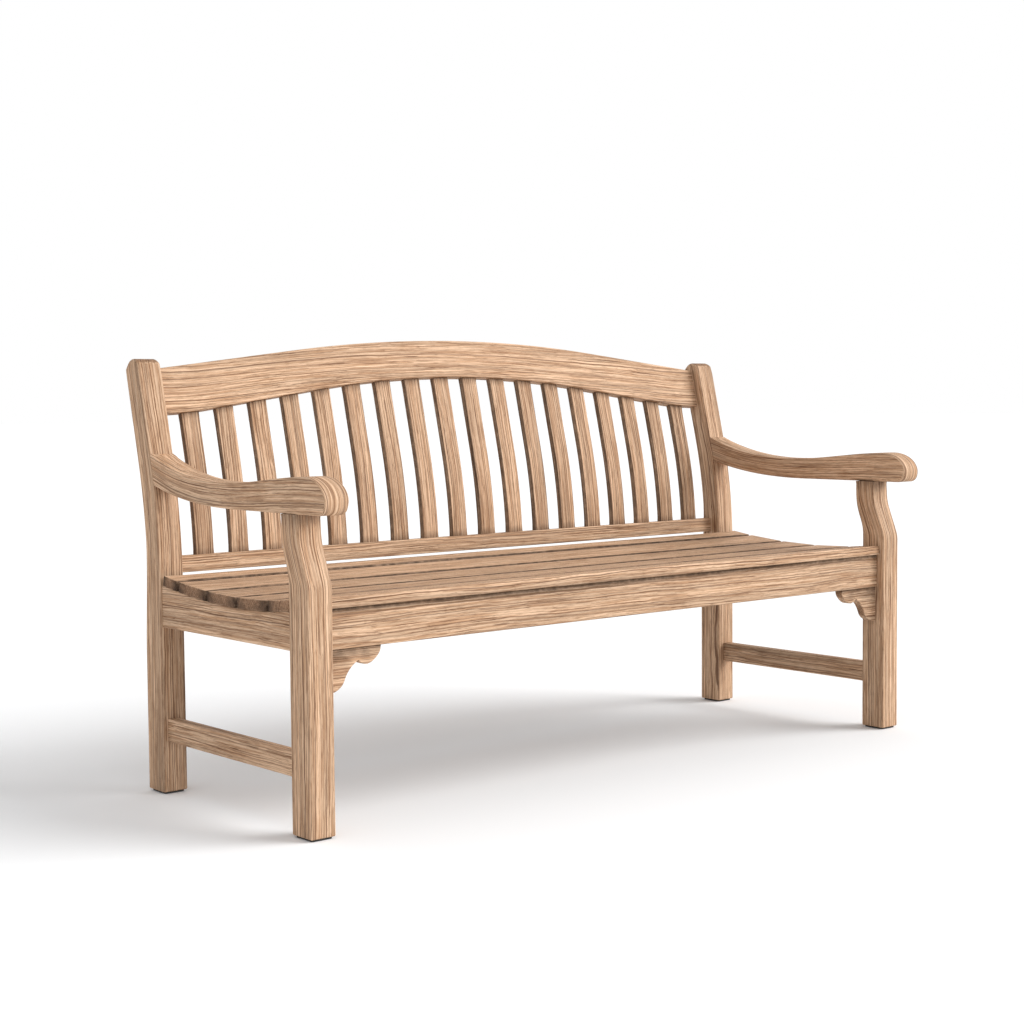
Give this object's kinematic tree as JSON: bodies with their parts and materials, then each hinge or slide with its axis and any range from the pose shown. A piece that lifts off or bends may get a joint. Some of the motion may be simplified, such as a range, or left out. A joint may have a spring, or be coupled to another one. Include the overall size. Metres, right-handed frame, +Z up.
{
  "type": "garden bench",
  "caption": "Slatted wooden garden bench: raked back under an arched top rail, swept arms with rounded ends, dished seat, scrolled brackets under the apron and low side stretchers.",
  "frame": {"origin": "on the ground, below the middle of the box round the bench", "axes": "+X along the bench towards the sitter's left arm, -Y to the front, where the sitter faces, +Z up"},
  "size_m": [1.8, 0.7856, 0.9989],
  "materials": {
    "oak": "bare oiled oak, open grain, soft matt sheen",
    "peg_oak": "turned oak dowel, bare",
    "screw_steel": "brushed stainless steel",
    "glide_plastic": "black matt plastic"
  },
  "bodies": {
    "root": {"back_slat_01": "oak", "back_slat_02": "oak", "back_slat_03": "oak", "back_slat_04": "oak", "back_slat_05": "oak", "back_slat_06": "oak", "back_slat_07": "oak", "back_slat_08": "oak", "back_slat_09": "oak", "back_slat_10": "oak", "back_slat_11": "oak", "back_slat_12": "oak", "back_slat_13": "oak", "back_slat_14": "oak", "back_slat_15": "oak", "back_slat_16": "oak", "back_slat_17": "oak", "back_slat_18": "oak", "crest_rail": "oak", "front_apron": "oak", "front_seat_slat": "oak", "left_apron_peg": "peg_oak", "left_arm": "oak", "left_arm_screw": "screw_steel", "left_back_post": "oak", "left_corner_bracket": "oak", "left_crest_peg": "peg_oak", "left_front_foot_glide": "glide_plastic", "left_front_leg": "oak", "left_lower_rail_peg": "peg_oak", "left_rear_foot_glide": "glide_plastic", "left_rear_seat_rail_peg": "peg_oak", "left_seat_bearer": "oak", "left_side_rail": "oak", "left_side_rail_front_peg": "peg_oak", "left_side_rail_rear_peg": "peg_oak", "left_stretcher": "oak", "lower_back_rail": "oak", "rear_seat_rail": "oak", "right_apron_peg": "peg_oak", "right_arm": "oak", "right_arm_screw": "screw_steel", "right_back_post": "oak", "right_corner_bracket": "oak", "right_crest_peg": "peg_oak", "right_front_foot_glide": "glide_plastic", "right_front_leg": "oak", "right_lower_rail_peg": "peg_oak", "right_rear_foot_glide": "glide_plastic", "right_rear_seat_rail_peg": "peg_oak", "right_seat_bearer": "oak", "right_side_rail": "oak", "right_side_rail_front_peg": "peg_oak", "right_side_rail_rear_peg": "peg_oak", "right_stretcher": "oak", "seat_slat_1": "oak", "seat_slat_2": "oak", "seat_slat_3": "oak", "seat_slat_4": "oak"}
  },
  "joints": []
}
